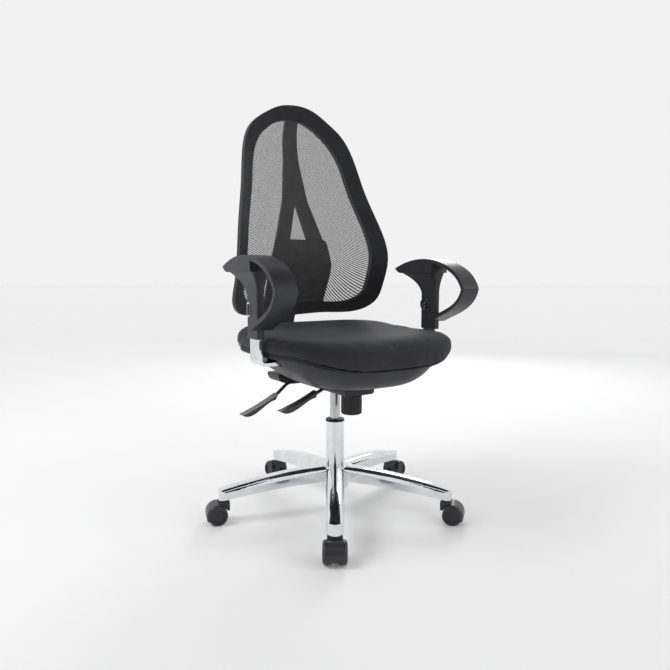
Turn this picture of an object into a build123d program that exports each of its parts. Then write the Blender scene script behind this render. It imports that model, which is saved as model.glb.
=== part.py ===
from build123d import *
import math
import os

# Swivel office chair with a mesh back, height-adjustable arms and a five-star base on twin-wheel
# casters. Millimetres. The origin is on the floor on the column's axis, +Z is up and the sitter
# faces -Y, so the sitter's right is -X. Heights of everything above the casters are read from a
# datum that lies DATUM_DEPTH below the floor; save() lowers each piece onto the floor's Z = 0.

os.makedirs("parts", exist_ok=True)

# --- Driving dimensions ------------------------------------------------------------------------
DATUM_DEPTH = 11.5
WHEEL_R = 25.0                  # 50 mm twin-wheel caster
WHEEL_INNER = 9.0               # wheel faces, measured along the axle from the caster's middle
WHEEL_OUTER = 27.5
CASTER_TRAIL = 18.0             # axle behind the stem
CASTER_AXLE_R = 3.0
STEM_R = 5.45
HOOD_HALF_WIDTH = 28.5
HOOD_WEB = 6.7                    # half-thickness of the hood's middle wall
STEM_CIRCLE_R = 307.0           # circle through the five stems
LEG_COUNT = 5
LEG_HEADING = -122.8            # first leg, degrees from +X
LEG_UNDERSIDE = 70.0
LEG_TIP_R = 322.0
LEG_WALL = 3.0
SOCKET_R = 7.5
SOCKET_BORE_R = 5.5
HUB_R = 37.0
HUB_TOP = 139.0

COLUMN_R = 25.0
COLUMN_WALL = 2.0
COLUMN_BOTTOM = 50.0
COLUMN_TOP = 261.0
GAS_TUBE_R = 14.0
GAS_BORE_R = 12.0
GAS_TUBE_BOTTOM = 140.0
GAS_TUBE_TOP = 368.0
ROD_R = 5.0
RUNNING = 0.05                  # radial clearance of a running fit

MECHANISM_BOTTOM = 350.0
MECHANISM_TOP = 382.0
MECHANISM_HALF_WIDTH = 46.0
MECHANISM_FRONT = -118.0
MECHANISM_BACK = 112.0
MECHANISM_WALL = 3.0
RECLINE_Y = 90.0                # recline axle
RECLINE_Z = 366.0
PIVOT_R = 5.0
KNOB_Y = -80.0
KNOB_R = 27.5
KNOB_BOTTOM = 296.0
KNOB_TOP = 345.0
LEVER_X = -44.5                 # levers pivot in the right side wall
LEVER_PIVOT_R = 5.2              # barrel that rocks in the side wall's slot
LEVER_Z = 371.0
HEIGHT_LEVER_Y = 45.0
LOCK_LEVER_Y = -75.0
LEVER_ROD_R = 4.5
GRIP_WIDTH = 26.0

SEAT_HALF_WIDTH = 260.0
SEAT_HALF_DEPTH = 240.0
SEAT_CENTRE_Y = -40.0
SEAT_SQUARENESS = 3.2           # superellipse exponent of the seat's plan
SEAT_SEAM = 464.0               # cushion meets the lower cover
BOARD_BOTTOM = 452.0
BOARD_SCALE = 0.79               # board's outline against the cushion's
COVER_BOTTOM = 385.0
COVER_WALL = 3.0
# Lower cover, bottom to rim: (height, half-width, front Y, back Y).
COVER_LEVELS = (
    (385, 128, -214, 95), (398, 152, -244, 120), (420, 188, -264, 150), (442, 218, -271, 174),
    (470, 242, -273, 192),
)
DROP_START_Y = -170.0           # the seat's layers curve down from here to the front edge
DROP_END_Y = -290.0
FRONT_DROP = 46.0

ARM_X = 272.0                   # middle of the arm's upright
ARM_Y = -78.0
ARM_SLEEVE_BOTTOM = 514.0
ARM_SLEEVE_TOP = 671.0
BAR_WIDTH = 50.0                # chromed flat bar
BAR_THICKNESS = 8.0
ARM_PAD_X = 273.0
ARM_PAD_WIDTH = 56.0
BUTTON_Z = 582.5
ARM_SETTING = 5.0                # how far the armrests stand below the height they are drawn at

BACK_CURVE = 0.0019             # the back wraps round the sitter: Y falls by this times x squared
BACK_HALF_SPAN = 270.0          # half-width of the blank that the back's pieces are cut from
FRAME_THICKNESS = 18.0
MESH_DEPTH = 1.5
MESH_THICKNESS = 1.5
LUMBAR_DEPTH = 3.5
LUMBAR_THICKNESS = 3.0
SPINE_DEPTH = 7.0
SPINE_THICKNESS = 10.0

# Side view of the backrest's front face on the centre line: (height, Y).
BACK_SIDE_VIEW = (
    (528, 261), (580, 237), (640, 210), (720, 190), (800, 198), (920, 220),
    (1020, 237), (1080, 238), (1120, 225), (1170, 204),
)

# Right-hand halves of the backrest's outline and of the mesh window: (X, height), top to bottom.
BACK_HALF = [
    (0, 1151), (55, 1142), (104, 1116), (150, 1076), (180, 1006), (198, 915), (227, 802), (242, 710),
    (241, 630), (234, 582), (218, 563), (110, 545), (0, 538.5),
]
WINDOW_HALF = [
    (0, 1114), (40, 1108), (78, 1088), (116, 1052), (144, 995), (161, 915), (191, 800), (205, 712),
    (204, 640), (198, 605), (182, 590), (100, 579), (0, 575.5),
]


def save(part, name):
    placed = part.moved(Location((0, 0, -DATUM_DEPTH)))
    placed.label = name
    export_step(placed, f"parts/{name}.step")


def ring(outer, inner, low, high, centre=(0, 0), mode=Mode.ADD):
    """Upright round piece between two heights, with a bore if inner isn't 0."""
    with BuildSketch(Plane.XY.offset(low)) as face:
        with Locations(centre):
            Circle(outer)
            if inner:
                Circle(inner, mode=Mode.SUBTRACT)
    extrude(face.sketch, amount=high - low, mode=mode)


def block(x_range, y_range, z_range, mode=Mode.ADD):
    """Upright box between the given limits."""
    with BuildSketch(Plane.XY.offset(z_range[0])) as face:
        with Locations(((x_range[0] + x_range[1]) / 2, (y_range[0] + y_range[1]) / 2)):
            Rectangle(abs(x_range[1] - x_range[0]), abs(y_range[1] - y_range[0]))
    extrude(face.sketch, amount=z_range[1] - z_range[0], mode=mode)


def cross_pin(x_low, x_high, y, z, radius, mode=Mode.ADD):
    """Round pin or bore along X."""
    with BuildSketch(Plane.YZ.offset(x_low)) as face:
        with Locations((y, z)):
            Circle(radius)
    extrude(face.sketch, amount=x_high - x_low, mode=mode)


# --- Five-star base ----------------------------------------------------------------------------
def leg_section(reach, width, bottom, top, corner):
    """Cross-section of a leg at one reach from the hub: flat below, rounded above."""
    with BuildSketch(Plane.YZ.offset(reach)) as section:
        with BuildLine():
            Polyline(
                (-width / 2, bottom), (width / 2, bottom), (width / 2, top), (-width / 2, top), close=True
            )
        make_face()
        fillet(vertices().group_by(Axis.Y)[-1], corner)
    return section.sketch


def leg_plan(inset):
    """Plan of a leg, with a round tip."""
    tip_radius = 20.5 - inset
    with BuildSketch(Plane.XY.offset(40)) as plan:
        with BuildLine():
            Polyline(
                (0, 30 - inset), (LEG_TIP_R - 20.5, tip_radius), (LEG_TIP_R - 20.5, -tip_radius),
                (0, inset - 30), close=True,
            )
        make_face()
        with Locations((LEG_TIP_R - 20.5, 0)):
            Circle(tip_radius)
    return plan.sketch


with BuildPart() as leg_hollow:
    loft([
        leg_section(30, 43, 87, 131.5, 14),
        leg_section(185, 40, 84, 123, 14),
        leg_section(345, 35, 62, 92, 10),
    ])
    extrude(leg_plan(LEG_WALL), amount=120, mode=Mode.INTERSECT)

with BuildPart() as leg:
    loft([
        leg_section(15, 50, 99, 138, 16),
        leg_section(185, 46, 91, 126, 16),
        leg_section(345, 41, 69, 95, 12),
    ])
    extrude(leg_plan(0), amount=120, mode=Mode.INTERSECT)
    add(leg_hollow.part, mode=Mode.SUBTRACT)
    ring(10, 0, LEG_UNDERSIDE + 1, 101, (STEM_CIRCLE_R, 0))
    ring(SOCKET_R, 0, LEG_UNDERSIDE, 94, (STEM_CIRCLE_R, 0), Mode.SUBTRACT)

with BuildPart() as star_base:
    with PolarLocations(0, LEG_COUNT, start_angle=LEG_HEADING):
        add(leg.part)
    ring(HUB_R, 0, 78, HUB_TOP)
    ring(COLUMN_R, 0, 40, 180, mode=Mode.SUBTRACT)
save(star_base.part, "star_base")

with BuildPart() as stem_sockets:
    with BuildSketch(Plane.XY.offset(LEG_UNDERSIDE + 1)):
        with PolarLocations(STEM_CIRCLE_R, LEG_COUNT, start_angle=LEG_HEADING):
            Circle(SOCKET_R)
            Circle(SOCKET_BORE_R, mode=Mode.SUBTRACT)
    extrude(amount=94 - LEG_UNDERSIDE - 1)
save(stem_sockets.part, "stem_sockets")

# --- Gas column --------------------------------------------------------------------------------
with BuildPart() as column_tube:
    ring(COLUMN_R, COLUMN_R - COLUMN_WALL, COLUMN_BOTTOM, COLUMN_TOP)
    ring(COLUMN_R - COLUMN_WALL, 6, COLUMN_BOTTOM, COLUMN_BOTTOM + 3)
save(column_tube.part, "column_tube")

with BuildPart() as column_bush:
    ring(COLUMN_R - COLUMN_WALL, GAS_TUBE_R + RUNNING, 180, COLUMN_TOP)
    ring(COLUMN_R + 1, GAS_TUBE_R + RUNNING, COLUMN_TOP, 267)
    chamfer(edges().group_by(Axis.Z)[-1].sort_by(SortBy.RADIUS)[-1], 2)
save(column_bush.part, "column_bush")

with BuildPart() as thrust_bearing:
    ring(14, 6, 53, 56)
    with Locations((0, 0, 58.5)):
        with PolarLocations(10, 12):
            Sphere(2.45)
save(thrust_bearing.part, "thrust_bearing")

with BuildPart() as bearing_upper_race:
    ring(14, ROD_R, 61, 64)
save(bearing_upper_race.part, "bearing_upper_race")

with BuildPart() as piston_rod:
    ring(ROD_R, 0, 44, 262)
    ring(8, 0, 64, 70)
    ring(GAS_BORE_R - RUNNING, 0, 262, 280)
save(piston_rod.part, "piston_rod")

with BuildPart() as rod_clip:
    ring(9, ROD_R, 46, 48)
save(rod_clip.part, "rod_clip")

with BuildPart() as gas_tube:
    ring(GAS_TUBE_R, GAS_BORE_R, GAS_TUBE_BOTTOM, GAS_TUBE_TOP)
    ring(GAS_BORE_R, ROD_R + RUNNING, GAS_TUBE_BOTTOM, GAS_TUBE_BOTTOM + 10)
    ring(GAS_BORE_R, 4 + RUNNING, GAS_TUBE_TOP - 14, GAS_TUBE_TOP)
save(gas_tube.part, "gas_tube")

with BuildPart() as valve_pin:
    ring(4, 0, GAS_TUBE_TOP - 12, GAS_TUBE_TOP + 6)
save(valve_pin.part, "valve_pin")

# --- Tilt mechanism ----------------------------------------------------------------------------
SEAT_SCREWS = [(x, y) for x in (-64, 64) for y in (-104, 70)]
INNER_HALF = MECHANISM_HALF_WIDTH - MECHANISM_WALL
FLOOR_TOP = MECHANISM_BOTTOM + MECHANISM_WALL
SPRING_SEAT_Y = -55.0

with BuildPart() as mechanism_housing:
    block(
        (-MECHANISM_HALF_WIDTH, MECHANISM_HALF_WIDTH),
        (MECHANISM_FRONT, MECHANISM_BACK),
        (MECHANISM_BOTTOM, MECHANISM_TOP),
    )
    fillet(edges().filter_by(Axis.Y).group_by(Axis.Z)[0], 8)
    block((-INNER_HALF, INNER_HALF), (MECHANISM_FRONT + 3, 150), (FLOOR_TOP, 400), Mode.SUBTRACT)
    block((-INNER_HALF, INNER_HALF), (60, 150), (340, 400), Mode.SUBTRACT)
    block((-INNER_HALF, INNER_HALF), (SPRING_SEAT_Y - 3, SPRING_SEAT_Y), (FLOOR_TOP, 374))
    for side in (-1, 1):
        block(
            (side * MECHANISM_HALF_WIDTH, side * 75),
            (MECHANISM_FRONT, MECHANISM_BACK),
            (MECHANISM_TOP - MECHANISM_WALL, MECHANISM_TOP),
        )
    for point in SEAT_SCREWS:
        ring(4, 0, 375, 385, point, Mode.SUBTRACT)
    ring(GAS_TUBE_R + 3, 0, 344, 366)
    ring(GAS_TUBE_R, 0, 340, 370, mode=Mode.SUBTRACT)
    ring(5.2, 0, 340, 360, (0, KNOB_Y), Mode.SUBTRACT)
    cross_pin(-60, 60, RECLINE_Y, RECLINE_Z, PIVOT_R, Mode.SUBTRACT)
    for lever_y in (HEIGHT_LEVER_Y, LOCK_LEVER_Y):
        block((-50, -42), (lever_y - 6, lever_y + 6), (361, 379), Mode.SUBTRACT)
save(mechanism_housing.part, "mechanism_housing")

with BuildPart() as recline_pin:
    cross_pin(-50, 50, RECLINE_Y, RECLINE_Z, PIVOT_R)
save(recline_pin.part, "recline_pin")

with BuildPart() as recline_springs:
    for side in (-1, 1):
        coil_start = (side * 31, SPRING_SEAT_Y + 2, 363.5)
        with BuildLine():
            coil = Helix(pitch=10, height=120, radius=6, center=coil_start, direction=(0, 1, 0))
        with BuildSketch(Plane(origin=coil @ 0, z_dir=coil % 0)):
            Circle(1.5)
        sweep(path=coil, is_frenet=True)
save(recline_springs.part, "recline_springs")

with BuildPart() as tension_knob:
    ring(KNOB_R, 0, KNOB_BOTTOM, KNOB_TOP, (0, KNOB_Y))
    fillet(edges().group_by(Axis.Z)[0], 5)
    with BuildSketch(Plane.XY.offset(KNOB_BOTTOM)):
        with Locations((0, KNOB_Y)):
            with PolarLocations(KNOB_R + 2.6, 16):
                Circle(4)
    extrude(amount=KNOB_TOP - KNOB_BOTTOM - 8, mode=Mode.SUBTRACT)
    ring(22, 7, 306, KNOB_TOP, (0, KNOB_Y), Mode.SUBTRACT)
    ring(5, 0, 310, KNOB_TOP, (0, KNOB_Y), Mode.SUBTRACT)
save(tension_knob.part, "tension_knob")

with BuildPart() as tension_screw:
    ring(5, 0, 310, 372, (0, KNOB_Y))
save(tension_screw.part, "tension_screw")


# --- Levers: a bent rod that pivots in the mechanism's right wall, and a grip on its end --------
def lever_rod_route(inner_x, bend_x, end):
    with BuildLine(Plane.XZ) as route:
        FilletPolyline((inner_x, LEVER_Z), (bend_x, LEVER_Z), end, radius=20)
    return route.line


def lever_rod(route, y):
    """Bent round rod with its pivot barrel."""
    with BuildPart() as rod:
        path = route.moved(Location((0, y, 0)))
        with BuildSketch(Plane(origin=path @ 0, z_dir=path % 0)):
            Circle(LEVER_ROD_R)
        sweep(path=path)
        with BuildSketch(Plane.XZ.offset(-y - 5.5)) as barrel:
            with Locations((LEVER_X, LEVER_Z)):
                Circle(LEVER_PIVOT_R)
        extrude(barrel.sketch, amount=11)
    return rod.part


def lever_grip(rod, y, root, tip):
    """Spoon-shaped grip: thick where the rod enters, thin and turned up at the tip."""
    run_x = tip[0] - root[0]
    run_z = tip[1] - root[1]
    heel = (root[0] - 4, root[1] - 8.5)
    crown = (root[0] + 4, root[1] + 7)
    with BuildPart() as grip:
        with BuildSketch(Plane.XZ.offset(-y)):
            with BuildLine():
                Line(crown, heel)
                Spline(
                    heel, (root[0] + 0.55 * run_x, root[1] + 0.55 * run_z - 12), (tip[0] + 10, tip[1] - 4), tip
                )
                Spline(tip, (root[0] + 0.5 * run_x, root[1] + 0.5 * run_z - 0.5), crown)
            make_face()
        extrude(amount=GRIP_WIDTH / 2, both=True)
        add(rod, mode=Mode.SUBTRACT)
    return grip.part


height_rod = lever_rod(lever_rod_route(-41.5, -122, (-172, 330.5)), HEIGHT_LEVER_Y)
with BuildPart() as height_lever_rod:
    add(height_rod)
    block((-42.5, 6), (-6, HEIGHT_LEVER_Y + LEVER_ROD_R), (GAS_TUBE_TOP + 6.6, GAS_TUBE_TOP + 10))
save(height_lever_rod.part, "height_lever_rod")
save(lever_grip(height_rod, HEIGHT_LEVER_Y, (-162, 339), (-260, 300)), "height_lever_grip")

lock_rod = lever_rod(lever_rod_route(-20, -82, (-124, 351.5)), LOCK_LEVER_Y)
save(lock_rod, "lock_lever_rod")
save(lever_grip(lock_rod, LOCK_LEVER_Y, (-110, 360), (-211, 326)), "lock_lever_grip")


# --- Seat --------------------------------------------------------------------------------------
def seat_outline(scale, height):
    """Plan of the seat: a superellipse about the seat's middle."""
    points = []
    for step in range(24):
        angle = math.radians(15 * step)
        power = 2 / SEAT_SQUARENESS
        across = math.copysign(abs(math.cos(angle)) ** power, math.cos(angle))
        along = math.copysign(abs(math.sin(angle)) ** power, math.sin(angle))
        x = scale * SEAT_HALF_WIDTH * across
        y = SEAT_CENTRE_Y + scale * SEAT_HALF_DEPTH * along
        points.append((x, y))
    with BuildSketch(Plane.XY.offset(height)) as outline:
        with BuildLine():
            Spline(points, periodic=True)
        make_face()
    return outline.sketch


def seat_layer(low, high):
    """Side view of the seat between two heights: level, then curving down to the front edge."""
    middle_y = (DROP_START_Y + DROP_END_Y) / 2
    back_y = 220
    with BuildSketch(Plane.YZ) as layer:
        with BuildLine():
            Line((back_y, low), (DROP_START_Y, low))
            Bezier((DROP_START_Y, low), (middle_y, low), (DROP_END_Y, low - FRONT_DROP))
            Line((DROP_END_Y, low - FRONT_DROP), (DROP_END_Y, high - FRONT_DROP))
            Bezier((DROP_END_Y, high - FRONT_DROP), (middle_y, high), (DROP_START_Y, high))
            Polyline((DROP_START_Y, high), (back_y, high), (back_y, low))
        make_face()
    return layer.sketch


def cover_section(half_width, front_y, back_y, height):
    """Rounded plan of the lower cover at one height."""
    with BuildSketch(Plane.XY.offset(height)) as section:
        with Locations((0, (front_y + back_y) / 2)):
            RectangleRounded(2 * half_width, back_y - front_y, 0.82 * half_width)
    return section.sketch


def cover_bowl(inset, lift):
    """Bowl of the lower cover, made smaller and lifted for its inside."""
    with BuildPart() as bowl:
        loft([
            cover_section(half_width - inset, front_y + inset, back_y - inset, height + lift)
            for height, half_width, front_y, back_y in COVER_LEVELS
        ])
    return bowl.part


ARM_SCREWS = [(side * x, ARM_Y) for side in (-1, 1) for x in (150, 171, 192)]

with BuildPart() as seat_plate:
    block((-80, 80), (-122, 92), (MECHANISM_TOP, COVER_BOTTOM))
    fillet(edges().filter_by(Axis.Z), 12)
    for point in SEAT_SCREWS:
        ring(4, 0, MECHANISM_TOP, COVER_BOTTOM, point, Mode.SUBTRACT)
save(seat_plate.part, "seat_plate")

cover_inside = cover_bowl(COVER_WALL, COVER_WALL)
with BuildPart() as seat_cover:
    add(cover_bowl(0, 0))
    add(cover_inside, mode=Mode.SUBTRACT)
    extrude(seat_layer(320, SEAT_SEAM - 0.3), amount=300, both=True, mode=Mode.INTERSECT)
    for point in SEAT_SCREWS:
        ring(10, 4, COVER_BOTTOM, BOARD_BOTTOM, point)
        ring(4, 0, 380, 460, point, Mode.SUBTRACT)
    for side in (-1, 1):
        block((side * 140, side * 280), (ARM_Y - 27, ARM_Y + 27), (440, 475), Mode.SUBTRACT)
save(seat_cover.part, "seat_cover")

with BuildPart() as seat_board:
    extrude(seat_outline(BOARD_SCALE, 380), amount=120)
    extrude(seat_layer(BOARD_BOTTOM, SEAT_SEAM), amount=300, both=True, mode=Mode.INTERSECT)
    for point in SEAT_SCREWS:
        ring(4, 0, 440, 470, point, Mode.SUBTRACT)
    for point in ARM_SCREWS:
        ring(3, 0, 440, 470, point, Mode.SUBTRACT)
save(seat_board.part, "seat_board")

with BuildPart() as seat_cushion:
    extrude(seat_outline(1, 400), amount=140)
    with BuildSketch(Plane.YZ):
        with BuildLine():
            Line((220, SEAT_SEAM), (DROP_START_Y, SEAT_SEAM))
            Bezier((DROP_START_Y, SEAT_SEAM), (-230, SEAT_SEAM), (DROP_END_Y, SEAT_SEAM - FRONT_DROP))
            Line((DROP_END_Y, SEAT_SEAM - FRONT_DROP), (DROP_END_Y, 456))
            Spline((DROP_END_Y, 456), (-238, 497), (-165, 507), (-30, 502), (110, 510), (220, 525))
            Line((220, 525), (220, SEAT_SEAM))
        make_face()
    extrude(amount=300, both=True, mode=Mode.INTERSECT)
save(seat_cushion.part, "seat_cushion")

with BuildPart() as seat_screws:
    for point in SEAT_SCREWS:
        ring(4, 0, MECHANISM_TOP - MECHANISM_WALL, 460, point)
        ring(7, 0, MECHANISM_TOP - MECHANISM_WALL - 5, MECHANISM_TOP - MECHANISM_WALL, point)
    for point in ARM_SCREWS:
        ring(3, 0, BOARD_BOTTOM - BAR_THICKNESS, 462, point)
        ring(6, 0, BOARD_BOTTOM - BAR_THICKNESS - 3, BOARD_BOTTOM - BAR_THICKNESS, point)
save(seat_screws.part, "seat_screws")


# --- Arms: side is -1 for the sitter's right and 1 for the left ---------------------------------
def arm_bracket(side):
    """Flat bar bent once: level under the seat board, then upright into the sleeve."""
    outer = ARM_X + BAR_THICKNESS / 2
    low = BOARD_BOTTOM - BAR_THICKNESS
    with BuildPart() as bracket:
        with BuildSketch(Plane.XZ.offset(-ARM_Y)):
            with BuildLine():
                FilletPolyline((side * 150, low), (side * outer, low), (side * outer, 625), radius=16)
                Line((side * outer, 625), (side * (outer - BAR_THICKNESS), 625))
                FilletPolyline(
                    (side * (outer - BAR_THICKNESS), 625),
                    (side * (outer - BAR_THICKNESS), BOARD_BOTTOM),
                    (side * 150, BOARD_BOTTOM),
                    radius=16 - BAR_THICKNESS,
                )
                Line((side * 150, BOARD_BOTTOM), (side * 150, low))
            make_face()
        extrude(amount=BAR_WIDTH / 2, both=True)
        for point in ARM_SCREWS:
            ring(3, 0, 440, 460, point, Mode.SUBTRACT)
    return bracket.part


def sleeve_section(width, y_low, y_high, height, corner, side):
    with BuildSketch(Plane.XY.offset(height)) as section:
        with Locations((side * ARM_X, (y_low + y_high) / 2)):
            RectangleRounded(width, y_high - y_low, corner)
    return section.sketch


def arm_sleeve(side):
    """Plastic upright that slides on the bracket, flared at its top to carry the armrest."""
    front = ARM_Y - 29.5
    back = ARM_Y + 29.5
    outer_face = ARM_X + 9.5
    with BuildPart() as sleeve:
        loft([sleeve_section(19, front, back, z, 5, side) for z in (ARM_SLEEVE_BOTTOM, 612)], ruled=True)
        loft([
            sleeve_section(19, front, back, 612, 5, side),
            sleeve_section(21, front - 1, back + 10, 632, 5, side),
            sleeve_section(30, front - 3, back + 34, 652, 6, side),
            sleeve_section(46, front - 6, back + 73, ARM_SLEEVE_TOP, 8, side),
        ])
        block(
            (side * (ARM_X - 4.3), side * (ARM_X + 4.3)),
            (ARM_Y - BAR_WIDTH / 2 - 0.3, ARM_Y + BAR_WIDTH / 2 + 0.3),
            (500, 660),
            Mode.SUBTRACT,
        )
        with BuildSketch(Plane.YZ.offset(side * (outer_face - 4.6))):
            with Locations((ARM_Y + 18, BUTTON_Z)):
                SlotOverall(27.6, 9.6, rotation=90)
        extrude(amount=side * 10, mode=Mode.SUBTRACT)
    return sleeve.part


def arm_trim(side):
    """Chromed oblong ring round the button outside, and chromed rosette inside."""
    with BuildPart() as trim:
        with BuildSketch(Plane.YZ.offset(side * (ARM_X + 9.5))):
            with Locations((ARM_Y + 18, BUTTON_Z)):
                SlotOverall(35, 17, rotation=90)
                SlotOverall(27.6, 9.6, rotation=90, mode=Mode.SUBTRACT)
        extrude(amount=side * 1.5)
        with BuildSketch(Plane.YZ.offset(side * (ARM_X - 9.5))):
            with Locations((ARM_Y + 14, BUTTON_Z)):
                Circle(15)
        extrude(amount=-side * 3)
        with BuildSketch(Plane.YZ.offset(side * (ARM_X - 12.5))):
            with Locations((ARM_Y + 14, BUTTON_Z)):
                with PolarLocations(6, 3):
                    Circle(2)
        extrude(amount=side * 1.5, mode=Mode.SUBTRACT)
    return trim.part


def arm_button(side):
    with BuildPart() as button:
        with BuildSketch(Plane.YZ.offset(side * (ARM_X + 7.7))):
            with Locations((ARM_Y + 18, BUTTON_Z)):
                SlotOverall(27, 9, rotation=90)
        extrude(amount=side * 4.8)
    return button.part


def armrest(side):
    """Looped armrest: a wide strip over the pad, round the nose and back down to the sleeve."""
    with BuildPart() as rest:
        with BuildSketch(Plane.YZ.offset(side * ARM_PAD_X)):
            with BuildLine():
                Spline((50, 685), (-45, 709), (-160, 694), (-217, 658), (-235, 629))
                Spline((-235, 629), (-227, 607), (-180, 567), (-107.8, 536))
                Line((-107.8, 536), (-107.8, 546))
                Spline((-107.8, 546), (-174, 575), (-218, 610), (-225, 627))
                Spline((-225, 627), (-209, 652), (-155, 685), (-110, 696))
                Polyline((-110, 696), (-113, 671.2), (24, 671.2))
                ThreePointArc((24, 671.2), (36, 675), (50, 685))
            make_face()
        extrude(amount=ARM_PAD_WIDTH / 2, both=True)
    return rest.part


for side, hand in ((-1, "right"), (1, "left")):
    save(arm_bracket(side), f"arm_bracket_{hand}")
    save(Pos(0, 0, -ARM_SETTING) * arm_sleeve(side), f"arm_sleeve_{hand}")
    save(Pos(0, 0, -ARM_SETTING) * arm_trim(side), f"arm_trim_{hand}")
    save(Pos(0, 0, -ARM_SETTING) * arm_button(side), f"arm_button_{hand}")
    save(Pos(0, 0, -ARM_SETTING) * armrest(side), f"armrest_{hand}")


# --- Backrest: every piece is cut from a blank that follows the back's curved face --------------
def back_section(height, face_y, thickness):
    """Level section of the blank: a parabola in front and the same curve behind it."""
    rise = BACK_CURVE * BACK_HALF_SPAN ** 2
    front = face_y
    rear = face_y + thickness
    with BuildSketch(Plane.XY.offset(height)) as section:
        with BuildLine():
            Bezier((-BACK_HALF_SPAN, front - rise), (0, front + rise), (BACK_HALF_SPAN, front - rise))
            Line((BACK_HALF_SPAN, front - rise), (BACK_HALF_SPAN, rear - rise))
            Bezier((BACK_HALF_SPAN, rear - rise), (0, rear + rise), (-BACK_HALF_SPAN, rear - rise))
            Line((-BACK_HALF_SPAN, rear - rise), (-BACK_HALF_SPAN, front - rise))
        make_face()
    return section.sketch


def back_blank(depth, thickness):
    with BuildPart() as blank:
        loft([back_section(height, face_y + depth, thickness) for height, face_y in BACK_SIDE_VIEW])
    return blank.part


def back_outline(right_hand_points):
    """Front view of a pear shape, from the points of its right-hand half, top to bottom."""
    left_hand_points = [(-x, z) for x, z in reversed(right_hand_points[1:-1])]
    with BuildSketch(Plane.XZ) as outline:
        with BuildLine():
            Spline(right_hand_points + left_hand_points, periodic=True)
        make_face()
    return outline.sketch


shell = back_outline(BACK_HALF)
window = back_outline(WINDOW_HALF)
with BuildPart() as backrest_frame:
    add(back_blank(0, FRAME_THICKNESS))
    extrude(shell, amount=-400, mode=Mode.INTERSECT)
    extrude(window, amount=-400, mode=Mode.SUBTRACT)
save(backrest_frame.part, "backrest_frame")

with BuildPart() as back_mesh:
    add(back_blank(MESH_DEPTH, MESH_THICKNESS))
    extrude(window, amount=-400, mode=Mode.INTERSECT)
save(back_mesh.part, "back_mesh")

with BuildPart() as lumbar_pad:
    add(back_blank(LUMBAR_DEPTH, LUMBAR_THICKNESS))
    with BuildSketch(Plane.XZ):
        with BuildLine():
            Polyline((-96, 588), (96, 588), (102, 690), (84, 765), (-84, 765), (-102, 690), close=True)
        make_face()
        fillet(vertices(), 14)
    extrude(amount=-400, mode=Mode.INTERSECT)
save(lumbar_pad.part, "lumbar_pad")

# Where the bar is screwed to the spine: (X, Y of the screw head's seat, height).
BACK_SCREWS = [(x, y, z) for x in (-18, 18) for y, z in ((257, 605), (232, 665))]


def back_screw(x, y, z, radius, length, mode=Mode.ADD):
    """Round piece along -Y from the screw head's seat; a negative length runs the other way."""
    with BuildSketch(Plane.XZ.offset(-y)) as disc:
        with Locations((x, z)):
            Circle(radius)
    extrude(disc.sketch, amount=length, mode=mode)


with BuildPart() as back_bar:
    with BuildSketch(Plane.YZ):
        with BuildLine():
            Polyline((118, 357), (200, 357))
            Spline((200, 357), (268, 380), (304, 450), (302, 515), (266, 590), (239, 650), (228, 690))
            Line((228, 690), (212, 690))
            Spline((212, 690), (222, 650), (250, 590), (289, 515), (291, 450), (258, 392), (200, 371))
            Polyline((200, 371), (118, 371), (118, 357))
        make_face()
    extrude(amount=32, both=True)
    add(back_blank(SPINE_DEPTH - 40, SPINE_THICKNESS + 40), mode=Mode.SUBTRACT)
    with BuildSketch(Plane.XZ.offset(-118)):
        with BuildLine():
            Polyline((-112, 382), (-112, 356), (112, 356), (112, 382), close=True)
        make_face()
        fillet(vertices().group_by(Axis.Y)[0], 22)
    extrude(amount=-70)
    block((-41, 41), (RECLINE_Y, 120), (358, 374))
    cross_pin(-41, 41, RECLINE_Y, RECLINE_Z, 9)
    cross_pin(-47, 47, RECLINE_Y, RECLINE_Z, PIVOT_R + RUNNING, Mode.SUBTRACT)
    for x, y, z in BACK_SCREWS:
        back_screw(x, y, z, 3, 40, Mode.SUBTRACT)
        back_screw(x, y, z, 6, -20, Mode.SUBTRACT)
save(back_bar.part, "back_bar")

with BuildPart() as back_spine:
    add(back_blank(SPINE_DEPTH, SPINE_THICKNESS))
    with BuildSketch(Plane.XZ):
        with BuildLine():
            Polyline((-19, 1140), (19, 1140), (24, 1000), (41, 879), (81, 755), (104, 690), (100, 560))
            Polyline((100, 560), (-100, 560), (-104, 690), (-81, 755), (-41, 879), (-24, 1000), (-19, 1140))
        make_face()
        with BuildLine():
            Polyline((-31, 756), (31, 756), (0, 875), close=True)
        make_face(mode=Mode.SUBTRACT)
    extrude(amount=-400, mode=Mode.INTERSECT)
    extrude(window, amount=-400, mode=Mode.INTERSECT)
    for x, y, z in BACK_SCREWS:
        back_screw(x, y, z, 3, 21, Mode.SUBTRACT)
save(back_spine.part, "back_spine")

with BuildPart() as back_screws:
    for x, y, z in BACK_SCREWS:
        back_screw(x, y, z, 3, 21)
        back_screw(x, y, z, 5.5, -3)
save(back_screws.part, "back_screws")


# --- Casters: modelled with the stem on the origin and trailing along +X ------------------------
AXLE = (CASTER_TRAIL, WHEEL_R)


def side_disc(radius, y_low, y_high, mode=Mode.ADD):
    """Round piece about the axle's line, between two places along the axle."""
    with BuildSketch(Plane.XZ.offset(-y_high)) as disc:
        with Locations(AXLE):
            Circle(radius)
    extrude(disc.sketch, amount=y_high - y_low, mode=mode)


with BuildPart() as wheel_space:
    side_disc(26.2, HOOD_WEB, HOOD_HALF_WIDTH)
    fillet(edges().filter_by(GeomType.CIRCLE).sort_by(Axis.Y)[-1], 6.5)
    side_disc(19.7, HOOD_WEB, 40)

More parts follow.
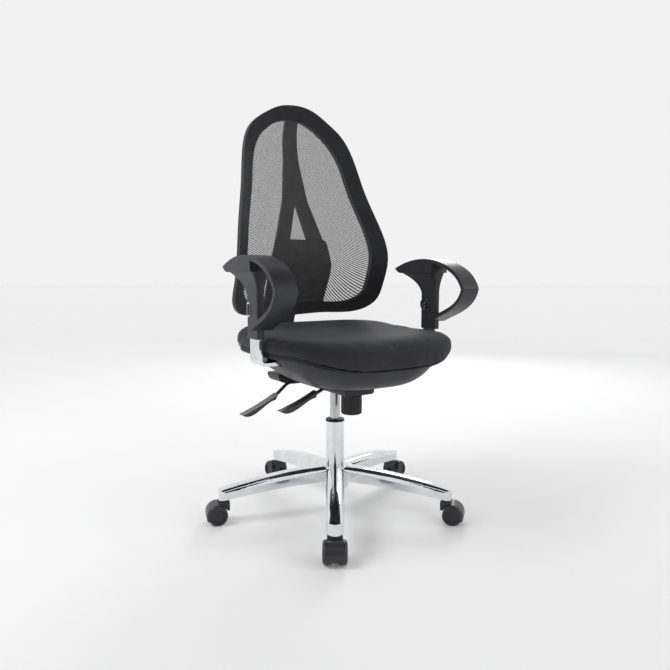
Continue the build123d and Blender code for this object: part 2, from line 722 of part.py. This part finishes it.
with BuildPart() as caster_hood:
    side_disc(29.5, -HOOD_HALF_WIDTH, HOOD_HALF_WIDTH)
    fillet(edges().filter_by(GeomType.CIRCLE), 8)
    block((-30, CASTER_TRAIL - 16), (-40, 40), (-10, 44), Mode.SUBTRACT)
    block((-30, 60), (-40, 40), (-10, 14), Mode.SUBTRACT)
    block((-13, 14), (-18, 18), (36, 58))
    add(wheel_space.part, mode=Mode.SUBTRACT)
    add(mirror(wheel_space.part, Plane.XZ), mode=Mode.SUBTRACT)
    ring(STEM_R, 0, 38, 80, mode=Mode.SUBTRACT)
    side_disc(CASTER_AXLE_R, -10, 10, Mode.SUBTRACT)

with BuildPart() as caster_pins:
    ring(STEM_R, 0, 38, 80.5)
    side_disc(CASTER_AXLE_R, -22, 22)

with BuildPart() as caster_wheel:
    side_disc(WHEEL_R, WHEEL_INNER, WHEEL_OUTER)
    fillet(edges().filter_by(GeomType.CIRCLE).sort_by(Axis.Y)[-1], 4)
    side_disc(17, WHEEL_OUTER - 2.5, WHEEL_OUTER, Mode.SUBTRACT)
    side_disc(CASTER_AXLE_R + RUNNING, 0, 22.05, Mode.SUBTRACT)

for index in range(LEG_COUNT):
    heading = LEG_HEADING + 360 / LEG_COUNT * index
    stem_x = STEM_CIRCLE_R * math.cos(math.radians(heading))
    stem_y = STEM_CIRCLE_R * math.sin(math.radians(heading))
    place = Location((stem_x, stem_y, DATUM_DEPTH), (0, 0, heading))
    number = index + 1
    save(place * caster_hood.part, f"caster_hood_{number}")
    save(place * caster_pins.part, f"caster_pins_{number}")
    save(place * caster_wheel.part, f"caster_wheel_{number}a")
    save(place * mirror(caster_wheel.part, Plane.XZ), f"caster_wheel_{number}b")
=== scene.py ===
"""Looks of the swivel office chair: upholstery, materials, floor, light and camera."""

import math

import bmesh
import bpy
import numpy as np
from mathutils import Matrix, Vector


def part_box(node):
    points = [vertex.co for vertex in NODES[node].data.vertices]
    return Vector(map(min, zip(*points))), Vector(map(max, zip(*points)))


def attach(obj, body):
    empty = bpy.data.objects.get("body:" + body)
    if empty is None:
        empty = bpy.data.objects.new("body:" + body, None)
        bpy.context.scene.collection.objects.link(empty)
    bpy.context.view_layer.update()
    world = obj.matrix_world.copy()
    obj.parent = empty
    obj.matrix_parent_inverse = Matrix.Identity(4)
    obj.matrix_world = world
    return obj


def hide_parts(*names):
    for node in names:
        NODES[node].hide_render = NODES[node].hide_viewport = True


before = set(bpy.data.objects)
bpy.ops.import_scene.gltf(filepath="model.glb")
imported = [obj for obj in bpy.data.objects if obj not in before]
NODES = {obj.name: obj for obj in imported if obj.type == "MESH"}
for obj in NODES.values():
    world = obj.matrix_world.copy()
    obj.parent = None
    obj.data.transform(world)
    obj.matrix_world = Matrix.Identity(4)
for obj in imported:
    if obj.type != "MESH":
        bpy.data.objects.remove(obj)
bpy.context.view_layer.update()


# --- Materials ----------------------------------------------------------------------------------

def tree_of(name):
    """A new node material with its Principled shader."""
    material = bpy.data.materials.new(name)
    material.use_nodes = True
    nodes = material.node_tree.nodes
    return material, nodes, material.node_tree.links, nodes["Principled BSDF"]


def maths(nodes, links, operation, *values):
    """A Math node whose inputs are sockets or numbers."""
    node = nodes.new("ShaderNodeMath")
    node.operation = operation
    for index, value in enumerate(values):
        if isinstance(value, (int, float)):
            node.inputs[index].default_value = value
        else:
            links.new(value, node.inputs[index])
    return node.outputs[0]


def noise(nodes, links, scale, detail=3.0, roughness=0.55, stretch=(1, 1, 1)):
    """Noise over the object's own coordinates, in cycles per metre."""
    coordinates = nodes.new("ShaderNodeTexCoord")
    mapping = nodes.new("ShaderNodeMapping")
    mapping.inputs["Scale"].default_value = stretch
    links.new(coordinates.outputs["Object"], mapping.inputs["Vector"])
    texture = nodes.new("ShaderNodeTexNoise")
    texture.inputs["Scale"].default_value = scale
    texture.inputs["Detail"].default_value = detail
    texture.inputs["Roughness"].default_value = roughness
    links.new(mapping.outputs["Vector"], texture.inputs["Vector"])
    return texture.outputs["Fac"]


def ramp(nodes, links, source, low, high, low_colour, high_colour):
    """Colour between two tones as source runs from low to high."""
    node = nodes.new("ShaderNodeValToRGB")
    node.color_ramp.elements[0].position = low
    node.color_ramp.elements[0].color = (*low_colour, 1)
    node.color_ramp.elements[1].position = high
    node.color_ramp.elements[1].color = (*high_colour, 1)
    links.new(source, node.inputs["Fac"])
    return node.outputs["Color"]


def spread(nodes, links, source, low, high):
    """A number between low and high as source runs from 0 to 1."""
    node = nodes.new("ShaderNodeMapRange")
    node.inputs["To Min"].default_value = low
    node.inputs["To Max"].default_value = high
    links.new(source, node.inputs["Value"])
    return node.outputs["Result"]


def bump(nodes, links, shader, height, distance, strength=1.0):
    """Bumps the shader's surface by height times distance in metres."""
    node = nodes.new("ShaderNodeBump")
    node.inputs["Strength"].default_value = strength
    node.inputs["Distance"].default_value = distance
    links.new(height, node.inputs["Height"])
    links.new(node.outputs["Normal"], shader.inputs["Normal"])


def threads(nodes, links, pitch):
    """(warp, weft) waves of a weave with that pitch, on faces that lie any way round."""
    coordinates = nodes.new("ShaderNodeTexCoord")
    parts = nodes.new("ShaderNodeSeparateXYZ")
    links.new(coordinates.outputs["Object"], parts.inputs[0])
    across = maths(nodes, links, "MULTIPLY", parts.outputs["X"], 2 * math.pi / pitch)
    along = maths(nodes, links, "ADD", parts.outputs["Y"], parts.outputs["Z"])
    along = maths(nodes, links, "MULTIPLY", along, 2 * math.pi / pitch)
    return maths(nodes, links, "SINE", across), maths(nodes, links, "SINE", along)


def woven(name, dark, light, pitch, depth, roughness, sheen):
    """Upholstery cloth with a plain weave, fuzz and slightly uneven dye."""
    material, nodes, links, shader = tree_of(name)
    warp, weft = threads(nodes, links, pitch)
    weave = maths(nodes, links, "MULTIPLY", warp, weft)
    fuzz = noise(nodes, links, 900, 2)
    cloudy = noise(nodes, links, 14, 3)
    tone = maths(nodes, links, "MULTIPLY_ADD", weave, 0.16, maths(nodes, links, "MULTIPLY", fuzz, 0.55))
    tone = maths(nodes, links, "ADD", tone, maths(nodes, links, "MULTIPLY", cloudy, 0.5))
    links.new(ramp(nodes, links, tone, 0.30, 0.78, dark, light), shader.inputs["Base Color"])
    links.new(spread(nodes, links, cloudy, roughness - 0.06, roughness + 0.08), shader.inputs["Roughness"])
    shader.inputs["Specular IOR Level"].default_value = 0.22
    shader.inputs["Sheen Weight"].default_value = sheen
    shader.inputs["Sheen Roughness"].default_value = 0.45
    shader.inputs["Sheen Tint"].default_value = (0.80, 0.82, 0.86, 1)
    height = maths(nodes, links, "MULTIPLY_ADD", weave, 0.5, fuzz)
    bump(nodes, links, shader, height, depth, 0.6)
    return material


def open_mesh(name, dark, light, pitch, cover):
    """Knitted mesh whose round holes are open; cover is the share of thread."""
    material, nodes, links, shader = tree_of(name)
    warp, weft = threads(nodes, links, pitch)
    weave = maths(nodes, links, "MULTIPLY", warp, weft)
    cloudy = noise(nodes, links, 30, 3)
    fuzz = noise(nodes, links, 1200, 2)
    solid = maths(nodes, links, "LESS_THAN", weave, 2 * cover - 1)
    links.new(ramp(nodes, links, maths(nodes, links, "MULTIPLY_ADD", fuzz, 0.6,
                                       maths(nodes, links, "MULTIPLY", cloudy, 0.4)),
                   0.3, 0.75, dark, light), shader.inputs["Base Color"])
    links.new(solid, shader.inputs["Alpha"])
    links.new(spread(nodes, links, fuzz, 0.55, 0.75), shader.inputs["Roughness"])
    bump(nodes, links, shader, weave, 0.0004, 0.5)
    return material


def moulded(name, dark, light, roughness, grain=1400, depth=0.00012, coat=0.0):
    """Moulded plastic: fine spark-eroded grain, faint flow marks and slightly polished spots."""
    material, nodes, links, shader = tree_of(name)
    fine = noise(nodes, links, grain, 2)
    flow = noise(nodes, links, 18, 4, 0.6)
    links.new(ramp(nodes, links, flow, 0.25, 0.8, dark, light), shader.inputs["Base Color"])
    links.new(spread(nodes, links, flow, roughness - 0.07, roughness + 0.07), shader.inputs["Roughness"])
    shader.inputs["Specular IOR Level"].default_value = 0.36
    shader.inputs["Coat Weight"].default_value = coat
    shader.inputs["Coat Roughness"].default_value = 0.12
    bump(nodes, links, shader, fine, depth, 0.5)
    return material


def metal(name, dark, light, roughness, brushed=(1, 1, 1), scale=60, depth=0.00002):
    """Metal with handling smudges in its gloss and a faint directional grain."""
    material, nodes, links, shader = tree_of(name)
    smudge = noise(nodes, links, 22, 5, 0.62)
    grain = noise(nodes, links, scale, 3, 0.6, brushed)
    links.new(ramp(nodes, links, smudge, 0.3, 0.7, dark, light), shader.inputs["Base Color"])
    links.new(spread(nodes, links, smudge, max(roughness - 0.03, 0.02), roughness + 0.05),
              shader.inputs["Roughness"])
    shader.inputs["Metallic"].default_value = 1.0
    bump(nodes, links, shader, grain, depth, 0.35)
    return material


def birch_ply(name):
    """Birch plywood: fine grain along the board and dark glue lines through its thickness."""
    material, nodes, links, shader = tree_of(name)
    grain = noise(nodes, links, 40, 6, 0.65, (9, 1, 1))
    coordinates = nodes.new("ShaderNodeTexCoord")
    parts = nodes.new("ShaderNodeSeparateXYZ")
    links.new(coordinates.outputs["Object"], parts.inputs[0])
    plies = maths(nodes, links, "SINE", maths(nodes, links, "MULTIPLY", parts.outputs["Z"], 2 * math.pi / 0.003))
    tone = maths(nodes, links, "MULTIPLY_ADD", plies, 0.15, grain)
    links.new(ramp(nodes, links, tone, 0.25, 0.8, (0.35, 0.20, 0.10), (0.62, 0.43, 0.25)),
              shader.inputs["Base Color"])
    links.new(spread(nodes, links, grain, 0.55, 0.75), shader.inputs["Roughness"])
    bump(nodes, links, shader, grain, 0.0002, 0.5)
    return material


SEAT_CLOTH = woven("seat_cloth", (0.011, 0.011, 0.0122), (0.042, 0.043, 0.046), 0.0016, 0.0004, 0.74, 0.16)
BACK_CLOTH = woven("back_cloth", (0.010, 0.010, 0.0112), (0.036, 0.037, 0.040), 0.0016, 0.0003, 0.50, 0.08)
PAD_CLOTH = woven("pad_cloth", (0.008, 0.008, 0.009), (0.036, 0.037, 0.040), 0.0026, 0.0006, 0.75, 0.10)
BACK_MESH = open_mesh("back_mesh_knit", (0.035, 0.035, 0.038), (0.09, 0.09, 0.095), 0.0048, 0.60)
BLACK_PLASTIC = moulded("black_plastic", (0.010, 0.010, 0.011), (0.022, 0.022, 0.024), 0.48)
LEVER_GLOSS = moulded("lever_plastic", (0.008, 0.008, 0.009), (0.014, 0.014, 0.0155), 0.16, 500, 0.00002, 0.6)
COVER_PLASTIC = moulded("cover_plastic", (0.020, 0.0205, 0.023), (0.038, 0.039, 0.043), 0.48)
SPINE_PLASTIC = moulded("spine_plastic", (0.026, 0.026, 0.029), (0.046, 0.047, 0.051), 0.55)
ARM_PLASTIC = moulded("arm_plastic", (0.022, 0.0225, 0.0248), (0.038, 0.039, 0.0425), 0.38)
CASTER_PLASTIC = moulded("caster_plastic", (0.022, 0.022, 0.024), (0.038, 0.0385, 0.042), 0.36, 900, 0.00008, 0.1)
WHEEL_PLASTIC = moulded("wheel_plastic", (0.020, 0.0205, 0.0225), (0.034, 0.035, 0.038), 0.40, 900, 0.00008)
CHROME = metal("chrome", (0.70, 0.71, 0.73), (0.84, 0.85, 0.86), 0.05)
PISTON_STEEL = metal("piston_steel", (0.42, 0.43, 0.44), (0.60, 0.61, 0.62), 0.24, (1, 1, 22), 120, 0.00003)
STEEL = metal("zinc_steel", (0.50, 0.50, 0.49), (0.66, 0.66, 0.64), 0.32, (1, 1, 1), 400, 0.00004)
BLACK_STEEL = moulded("black_powder_coat", (0.012, 0.012, 0.013), (0.026, 0.026, 0.028), 0.42, 700, 0.00010)
GREY_STEEL = metal("grey_steel", (0.30, 0.31, 0.32), (0.48, 0.49, 0.50), 0.30, (1, 1, 6), 150, 0.00003)
PLYWOOD = birch_ply("birch_plywood")

SLOT_LOOKS = {
    "chrome": CHROME,
    "black_plastic": BLACK_PLASTIC,
    "lever_plastic": LEVER_GLOSS,
    "grey_steel": GREY_STEEL,
    "steel": STEEL,
    "black_steel": BLACK_STEEL,
    "cover_plastic": COVER_PLASTIC,
    "plywood": PLYWOOD,
    "seat_fabric": SEAT_CLOTH,
    "arm_plastic": ARM_PLASTIC,
    "frame_fabric": BACK_CLOTH,
    "mesh_fabric": BACK_MESH,
    "spine_plastic": SPINE_PLASTIC,
    "caster_plastic": CASTER_PLASTIC,
    "caster_wheel": WHEEL_PLASTIC,
}


def dress(obj):
    """Gives a CAD node the look of each of its material slots."""
    for slot in obj.material_slots:
        name = slot.material.name.split(".")[0]
        slot.material = SLOT_LOOKS[name]


# --- Building helpers ---------------------------------------------------------------------------

def piece_from(name, vertices, faces, material, subdivisions=0):
    """A smooth-shaded mesh object from vertices and faces in the row frame."""
    mesh = bpy.data.meshes.new(name)
    mesh.from_pydata([tuple(v) for v in vertices], [], faces)
    mesh.update()
    mesh.polygons.foreach_set("use_smooth", [True] * len(mesh.polygons))
    obj = bpy.data.objects.new(name, mesh)
    bpy.context.scene.collection.objects.link(obj)
    mesh.materials.append(material)
    if subdivisions:
        modifier = obj.modifiers.new("smooth", "SUBSURF")
        modifier.levels = subdivisions
        modifier.render_levels = subdivisions
    return obj


def joined_rings(name, rings, material):
    """A closed form from rings of points, joined one to the next and filled at both ends."""
    count = len(rings[0])
    vertices = [point for ring in rings for point in ring]
    faces = []
    for level in range(len(rings) - 1):
        for step in range(count):
            following = (step + 1) % count
            faces.append((level * count + step, level * count + following,
                          (level + 1) * count + following, (level + 1) * count + step))
    vertices.append(Vector(np.mean([tuple(p) for p in rings[0]], axis=0)))
    faces += [(len(vertices) - 1, (s + 1) % count, s) for s in range(count)]
    base = (len(rings) - 1) * count
    vertices.append(Vector(np.mean([tuple(p) for p in rings[-1]], axis=0)))
    faces += [(len(vertices) - 1, base + s, base + (s + 1) % count) for s in range(count)]
    return piece_from(name, vertices, faces, material, 1)


# --- Seat upholstery ----------------------------------------------------------------------------

SEAT_LOW, SEAT_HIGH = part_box("seat_cushion")
SEAT_HALF_WIDTH = (SEAT_HIGH[0] - SEAT_LOW[0]) / 2
SEAT_HALF_DEPTH = (SEAT_HIGH[1] - SEAT_LOW[1]) / 2
SEAT_MIDDLE_Y = (SEAT_HIGH[1] + SEAT_LOW[1]) / 2
SEAT_TOP = SEAT_HIGH[2]
SEAT_SQUARENESS = 3.2
SEAT_STEPS = 160


def seat_edge(angle, scale):
    """Point of the seat's rounded-square outline at an angle, scaled about its middle."""
    c, s = math.cos(angle), math.sin(angle)
    reach = (abs(c) ** SEAT_SQUARENESS + abs(s) ** SEAT_SQUARENESS) ** (-1 / SEAT_SQUARENESS)
    return scale * reach * c * SEAT_HALF_WIDTH, SEAT_MIDDLE_Y + scale * reach * s * SEAT_HALF_DEPTH


def front_dip(y):
    """How far the seams fall towards the front edge."""
    return max(0.0, -0.17 - y) ** 2


def crease_height(y):
    return SEAT_TOP - 0.045 - 3.7 * front_dip(y)


def border_height(y):
    return SEAT_TOP - 0.0605 - 3.0 * front_dip(y)


TOP_LINE = ((-0.30, -0.040), (-0.27, -0.0275), (-0.235, -0.0205), (-0.20, -0.0185), (-0.14, -0.0215),
            (-0.05, -0.0235), (0.04, -0.0165), (0.10, -0.006), (0.15, -0.001), (0.20, -0.003))


def top_height(x, y):
    """Height of the sitting surface: dished in the middle, a raised rear rim and a waterfall front."""
    along = np.interp(y, [p[0] for p in TOP_LINE], [p[1] for p in TOP_LINE])
    saddle = 0.007 * (x / 0.21) ** 2 * max(0.0, 1 - abs(y + 0.04) / 0.26)
    return SEAT_TOP + along + min(saddle, 0.008)


RIM_START = 0.80                  # share of the outline's size at which the top begins to roll over
RIM_CURVE = 2.3
CUSHION_PARTS = (0.06, 0.16, 0.28, 0.40, 0.52, 0.62, 0.70, 0.76, 0.80, 0.84, 0.88, 0.915, 0.945, 0.968,
                 0.985, 0.995)


def cushion_rings(size):
    """Rings of the upper cushion from its middle over the rim to the crease and under it."""
    rings = []
    for part in CUSHION_PARTS:
        ring = []
        for step in range(SEAT_STEPS):
            angle = 2 * math.pi * step / SEAT_STEPS
            x, y = seat_edge(angle, part * size)
            low = crease_height(y) + 0.012
            height = top_height(x, y)
            if part > RIM_START:
                fall = (1 - ((part - RIM_START) / (1 - RIM_START)) ** RIM_CURVE) ** (1 / RIM_CURVE)
                height = low + (height - low) * fall
            ring.append(Vector((x, y, height)))
        rings.append(ring)
    for part, drop in ((1.0, 0.006), (0.993, 0.002), (0.975, 0.0), (0.93, 0.001)):
        ring = []
        for step in range(SEAT_STEPS):
            angle = 2 * math.pi * step / SEAT_STEPS
            x, y = seat_edge(angle, part * size)
            ring.append(Vector((x, y, crease_height(y) + drop)))
        rings.append(ring)
    return rings


def border_rings():
    """Rings of the lower border: from under the crease, out, down and under to the board."""
    rings = []
    rows = ((0.92, 0, 0.0005), (0.95, 0, 0.000), (0.966, 0, -0.003), (0.968, 1, 0.004), (0.963, 1, 0.001),
            (0.945, 1, 0.0), (0.92, 1, 0.0005))
    for part, at_border, lift in rows:
        ring = []
        for step in range(SEAT_STEPS):
            angle = 2 * math.pi * step / SEAT_STEPS
            x, y = seat_edge(angle, part)
            height = (border_height(y) if at_border else crease_height(y)) + lift
            ring.append(Vector((x, y, height)))
        rings.append(ring)
    return rings


def puff(obj, pressure, cap, voxel):
    """Inflates a closed form a little with cloth simulation, moving no point more than cap."""
    bpy.context.view_layer.objects.active = obj
    remesh = obj.modifiers.new("remesh", "REMESH")
    remesh.mode = "VOXEL"
    remesh.voxel_size = voxel
    evaluated = obj.evaluated_get(bpy.context.evaluated_depsgraph_get())
    start = bpy.data.meshes.new_from_object(evaluated)
    start.name = obj.name + "_dense"
    obj.modifiers.clear()
    materials = list(obj.data.materials)
    obj.data = start
    obj.data.materials.clear()
    for material in materials:
        obj.data.materials.append(material)
    before = np.array([v.co[:] for v in obj.data.vertices])
    cloth = obj.modifiers.new("cloth", "CLOTH")
    cloth.settings.use_pressure = True
    cloth.settings.uniform_pressure_force = pressure
    cloth.settings.effector_weights.gravity = 0
    cloth.settings.quality = 4
    cloth.settings.tension_stiffness = 12
    cloth.settings.bending_stiffness = 2
    cloth.point_cache.frame_start = 1
    cloth.point_cache.frame_end = 14
    for step in range(1, 15):
        bpy.context.scene.frame_set(step)
    evaluated = obj.evaluated_get(bpy.context.evaluated_depsgraph_get())
    after = np.array([v.co[:] for v in evaluated.data.vertices])
    obj.modifiers.clear()
    bpy.context.scene.frame_set(1)
    move = after - before
    length = np.linalg.norm(move, axis=1, keepdims=True)
    after = before + move * np.minimum(1, cap / np.maximum(length, 1e-9))
    obj.data.vertices.foreach_set("co", after.ravel())
    obj.data.polygons.foreach_set("use_smooth", [True] * len(obj.data.polygons))
    obj.data.update()
    modifier = obj.modifiers.new("smooth", "SUBSURF")
    modifier.levels = 1
    modifier.render_levels = 1


SIMULATED_SCALE = 1.014            # the cloth draws in by about as much when it inflates
CLOTH_PRESSURE = 4.0
LARGEST_MOVE = 0.005
VOXEL = 0.006

cushion = joined_rings("seat_upholstery", cushion_rings(SIMULATED_SCALE), SEAT_CLOTH)
puff(cushion, CLOTH_PRESSURE, LARGEST_MOVE, VOXEL)
border = joined_rings("seat_border", border_rings(), SEAT_CLOTH)


def tube_along(name, points, radius, material, sides=8):
    """A thin closed tube along a loop of points."""
    count = len(points)
    vertices, faces = [], []
    for index, point in enumerate(points):
        ahead = (points[(index + 1) % count] - points[index - 1]).normalized()
        outward = ahead.cross(Vector((0, 0, 1))).normalized()
        upward = outward.cross(ahead)
        for side in range(sides):
            turn = 2 * math.pi * side / sides
            vertices.append(point + radius * (math.cos(turn) * outward + math.sin(turn) * upward))
    for index in range(count):
        following = (index + 1) % count
        for side in range(sides):
            beside = (side + 1) % sides
            faces.append((index * sides + side, following * sides + side,
                          following * sides + beside, index * sides + beside))
    return piece_from(name, vertices, faces, material, 1)


def seat_loop(scale, height, lift):
    """Points round the seat at a scale, at a height that depends on y."""
    points = []
    for step in range(2 * SEAT_STEPS):
        x, y = seat_edge(math.pi * step / SEAT_STEPS, scale)
        points.append(Vector((x, y, height(y) + lift)))
    return points


piping = tube_along("seat_piping", seat_loop(0.974, crease_height, -0.0012), 0.0018, SEAT_CLOTH)
for piece in (cushion, border, piping):
    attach(piece, "seat")
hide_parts("seat_cushion")


# --- Backrest fabric ----------------------------------------------------------------------------

def facing_front(name, node, material):
    """One sheet made of the faces of a CAD node that look forwards."""
    mesh = bmesh.new()
    mesh.from_mesh(NODES[node].data)
    bmesh.ops.remove_doubles(mesh, verts=mesh.verts, dist=1e-6)
    mesh.normal_update()
    bmesh.ops.delete(mesh, geom=[f for f in mesh.faces if f.normal.y > -0.35], context="FACES")
    vertices = [v.co.copy() for v in mesh.verts]
    for index, vertex in enumerate(mesh.verts):
        vertex.index = index
    faces = [tuple(v.index for v in f.verts) for f in mesh.faces]
    mesh.free()
    return piece_from(name, vertices, faces, material)


LUMBAR_THICKNESS = 0.0028

mesh_cloth = facing_front("mesh_cloth", "back_mesh", BACK_MESH)
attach(mesh_cloth, "back")
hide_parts("back_mesh")

lumbar = facing_front("lumbar_cloth", "lumbar_pad", PAD_CLOTH)
solid = lumbar.modifiers.new("thickness", "SOLIDIFY")
solid.thickness = LUMBAR_THICKNESS
solid.offset = -1.0
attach(lumbar, "back")
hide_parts("lumbar_pad")

for name, node in NODES.items():
    dress(node)
for name in ("piston_rod", "gas_tube"):
    for slot in NODES[name].material_slots:
        slot.material = PISTON_STEEL


# --- Floor, light and camera --------------------------------------------------------------------

def flat_disc(name, radius, height, material):
    """A round floor."""
    rim = [(radius * math.cos(2 * math.pi * k / 64), radius * math.sin(2 * math.pi * k / 64), height)
           for k in range(64)]
    return piece_from(name, rim, [tuple(range(64))], material)


floor_material, floor_nodes, floor_links, floor_shader = tree_of("studio_floor")
floor_tone = noise(floor_nodes, floor_links, 2.0, 2)
floor_links.new(ramp(floor_nodes, floor_links, floor_tone, 0.3, 0.7, (0.885, 0.885, 0.885), (0.90, 0.90, 0.90)),
                floor_shader.inputs["Base Color"])
floor_shader.inputs["Roughness"].default_value = 0.6
floor_shader.inputs["Specular IOR Level"].default_value = 0.1
floor_shader.inputs["Emission Color"].default_value = (1, 1, 1, 1)
floor_shader.inputs["Emission Strength"].default_value = 0.06
floor = flat_disc("floor", 60.0, 0.0, floor_material)

world = bpy.data.worlds.new("studio")
bpy.context.scene.world = world
world.use_nodes = True
background = world.node_tree.nodes["Background"]
background.inputs["Color"].default_value = (0.955, 0.955, 0.96, 1)
background.inputs["Strength"].default_value = 0.93


def softbox(name, place, target, size, power):
    """A square area light that looks at a point."""
    data = bpy.data.lights.new(name, "AREA")
    data.size = size
    data.energy = power
    light = bpy.data.objects.new(name, data)
    bpy.context.scene.collection.objects.link(light)
    light.location = place
    light.rotation_euler = (Vector(target) - Vector(place)).to_track_quat("-Z", "Y").to_euler()


def flag(name, place, target, width, height, shade):
    """A dark or grey board beside the set, seen only in reflections, as studios use round chrome."""
    material, nodes, links, shader = tree_of(name + "_board")
    mottle = noise(nodes, links, 1.5, 2)
    links.new(ramp(nodes, links, mottle, 0.3, 0.7, (shade, shade, shade), (shade * 1.2,) * 3),
              shader.inputs["Base Color"])
    shader.inputs["Roughness"].default_value = 0.9
    shader.inputs["Specular IOR Level"].default_value = 0.0
    w, h = width / 2, height / 2
    board = piece_from(name, [(-w, -h, 0), (w, -h, 0), (w, h, 0), (-w, h, 0)], [(0, 1, 2, 3)], material)
    board.location = place
    board.rotation_euler = (Vector(target) - Vector(place)).to_track_quat("Z", "Y").to_euler()
    board.visible_camera = False
    board.visible_shadow = False
    board.visible_transmission = False


flag("overhead_flag", (0.0, -0.2, 3.4), (0, 0, 0.4), 3.6, 3.0, 0.010)
flag("front_flag", (-1.9, -3.1, 1.7), (0, 0, 0.5), 1.9, 3.2, 0.012)
flag("side_flag", (3.3, -1.2, 1.3), (0, 0, 0.4), 1.3, 2.4, 0.020)
flag("rear_flag", (-2.6, 2.2, 1.2), (0, 0, 0.4), 1.1, 2.0, 0.020)
softbox("key", (-2.2, 0.6, 2.4), (0, 0, 0.45), 1.1, 30)
softbox("fill", (2.4, -2.4, 2.0), (0, 0, 0.6), 1.0, 16)
softbox("rim", (2.2, 2.0, 1.8), (0, 0, 0.7), 0.9, 24)

CAMERA_PLACE = (-0.8632, -1.3394, 0.6406)
CAMERA_DOWN = 5.548                # degrees below the horizon
CAMERA_TURN = 32.8                 # degrees towards +X from looking along +Y
CAMERA_LENS = 31.6

camera_data = bpy.data.cameras.new("camera")
camera = bpy.data.objects.new("camera", camera_data)
bpy.context.scene.collection.objects.link(camera)
camera.location = CAMERA_PLACE
camera.rotation_euler = (math.radians(90 - CAMERA_DOWN), 0, math.radians(-CAMERA_TURN))
camera_data.sensor_width = 36
camera_data.lens = CAMERA_LENS
bpy.context.scene.camera = camera
bpy.context.scene.view_settings.view_transform = "Standard"
